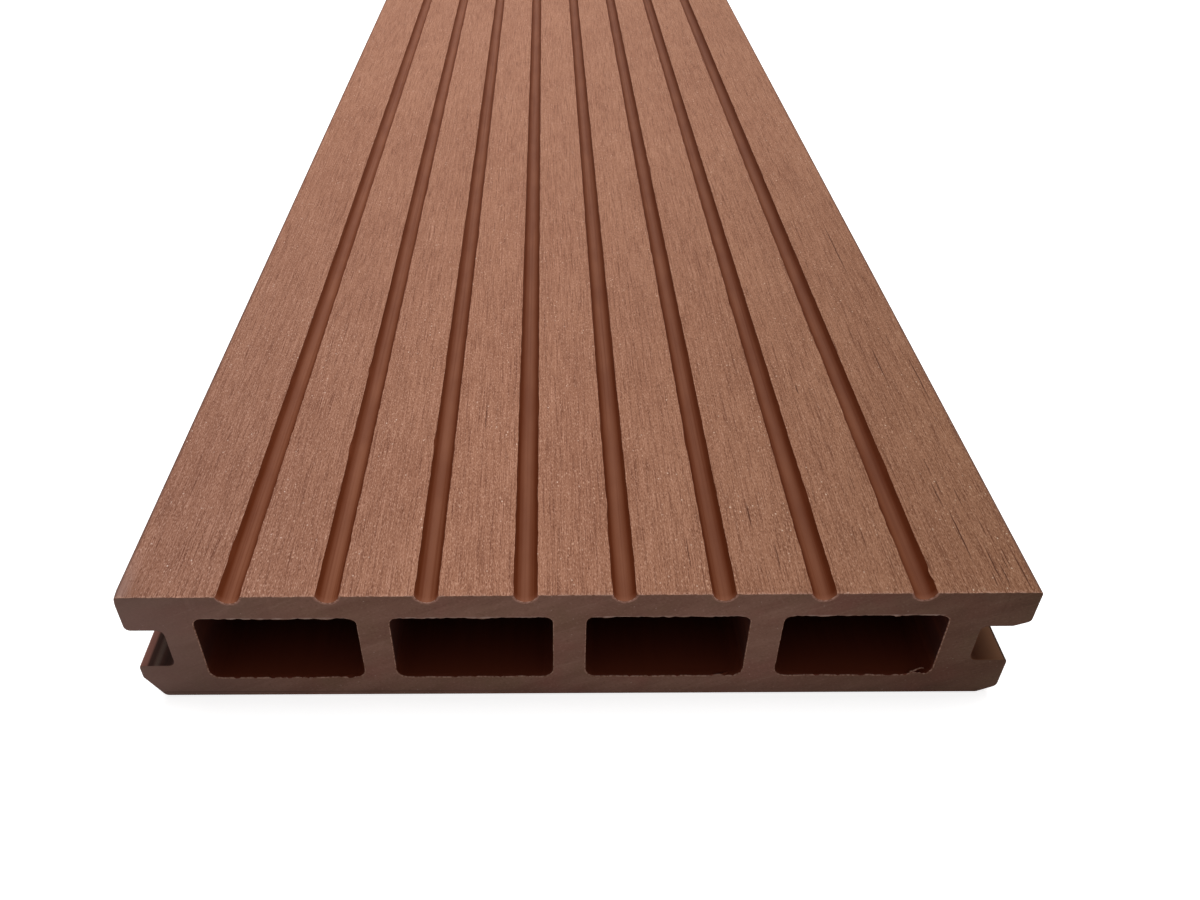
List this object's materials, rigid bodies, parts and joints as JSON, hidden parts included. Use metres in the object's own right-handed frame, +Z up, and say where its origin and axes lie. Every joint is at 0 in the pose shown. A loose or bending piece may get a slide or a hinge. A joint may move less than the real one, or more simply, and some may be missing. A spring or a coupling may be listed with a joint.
{
  "type": "composite decking board",
  "caption": "Hollow wood-plastic composite decking board with a grooved tread face, rounded rectangular chambers along its length and clip slots in both edges.",
  "frame": {"origin": "middle of the underside, halfway along the length", "axes": "+Y along the board's length, away from the sawn end in the picture; +X across the width, to the right seen from that end; +Z up out of the grooved tread face"},
  "size_m": [0.15, 2.2, 0.025],
  "materials": {
    "wood_plastic_composite": "matte"
  },
  "bodies": {
    "root": {"decking_board": "wood_plastic_composite"}
  },
  "joints": []
}
